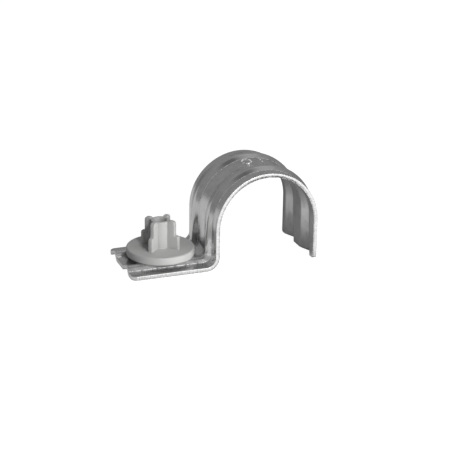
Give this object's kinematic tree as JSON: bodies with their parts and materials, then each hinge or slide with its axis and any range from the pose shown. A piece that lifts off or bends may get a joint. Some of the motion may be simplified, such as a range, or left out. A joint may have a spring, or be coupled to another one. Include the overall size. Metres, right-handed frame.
{
  "type": "conduit clip",
  "caption": "One-hole clip of ribbed galvanised sheet steel that arches over a round conduit, with a moulded guide for the fixing pin standing on its foot.",
  "frame": {"origin": "where the axis of the pin bore meets the wall plane", "axes": "+X along the clip from the pin towards the conduit; +Y across the strap, along the conduit; +Z away from the wall, along the pin"},
  "size_m": [0.0466, 0.0188, 0.023],
  "materials": {
    "strap_steel": "bright galvanised sheet with sheared edges",
    "guide_plastic": "moulded, light grey, slight sheen"
  },
  "bodies": {
    "root": {"strap": "strap_steel", "pin_guide": "guide_plastic"}
  },
  "joints": []
}
